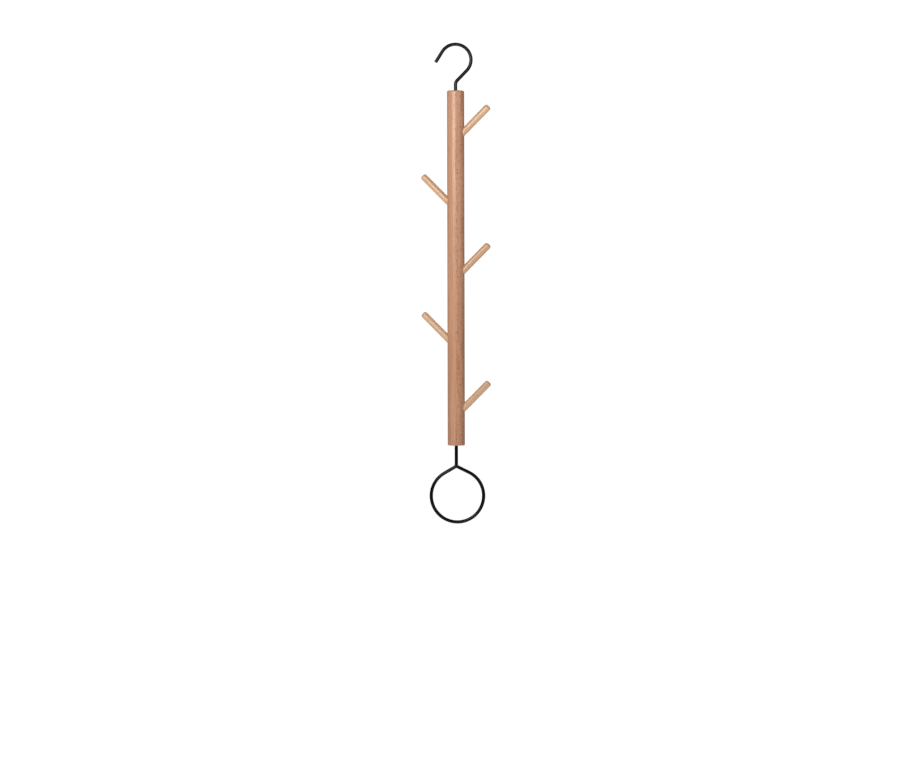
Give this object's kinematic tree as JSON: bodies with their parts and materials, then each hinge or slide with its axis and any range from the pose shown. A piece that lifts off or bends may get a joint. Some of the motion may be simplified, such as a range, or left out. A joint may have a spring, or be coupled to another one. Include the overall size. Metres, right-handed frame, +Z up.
{
  "type": "hanging coat rack",
  "caption": "Hanging coat rack: a round beech pole with angled round pegs on both sides, a black wire hook on top and a black wire ring below, both turning freely.",
  "frame": {"origin": "the hook's seat: the inner top of the hook's arc, on the pole's axis, where the rack rests on whatever carries it", "axes": "+Z up along the pole's axis; the hook and the ring lie in the XZ plane at rest, with the hook's mouth towards -X; the odd pegs point to +X and the even ones to -X, in a vertical plane turned 11 degrees about Z from the hook's"},
  "size_m": [0.0804, 0.0222, 0.559],
  "materials": {
    "pole_beech": "steamed beech, sanded, clear satin lacquer",
    "peg_beech": "paler beech dowel, sanded, clear satin lacquer",
    "black_wire": "steel wire, satin black paint",
    "bush_steel": "turned steel, zinc plated"
  },
  "bodies": {
    "hook": {"hook": "black_wire"},
    "pole": {"pole": "pole_beech", "peg_1": "peg_beech", "peg_2": "peg_beech", "peg_3": "peg_beech", "peg_4": "peg_beech", "peg_5": "peg_beech", "top_bush": "bush_steel", "bottom_bush": "bush_steel"},
    "ring": {"ring": "black_wire"}
  },
  "joints": [
    {"name": "hook_swivel", "type": "hinge", "parent": "hook", "child": "pole", "pos_m": [0, 0, -0.0516], "axis": [0, 0, 1], "continuous": true},
    {"name": "ring_swivel", "type": "hinge", "parent": "pole", "child": "ring", "pos_m": [0, 0, -0.4636], "axis": [0, 0, 1], "continuous": true}
  ]
}
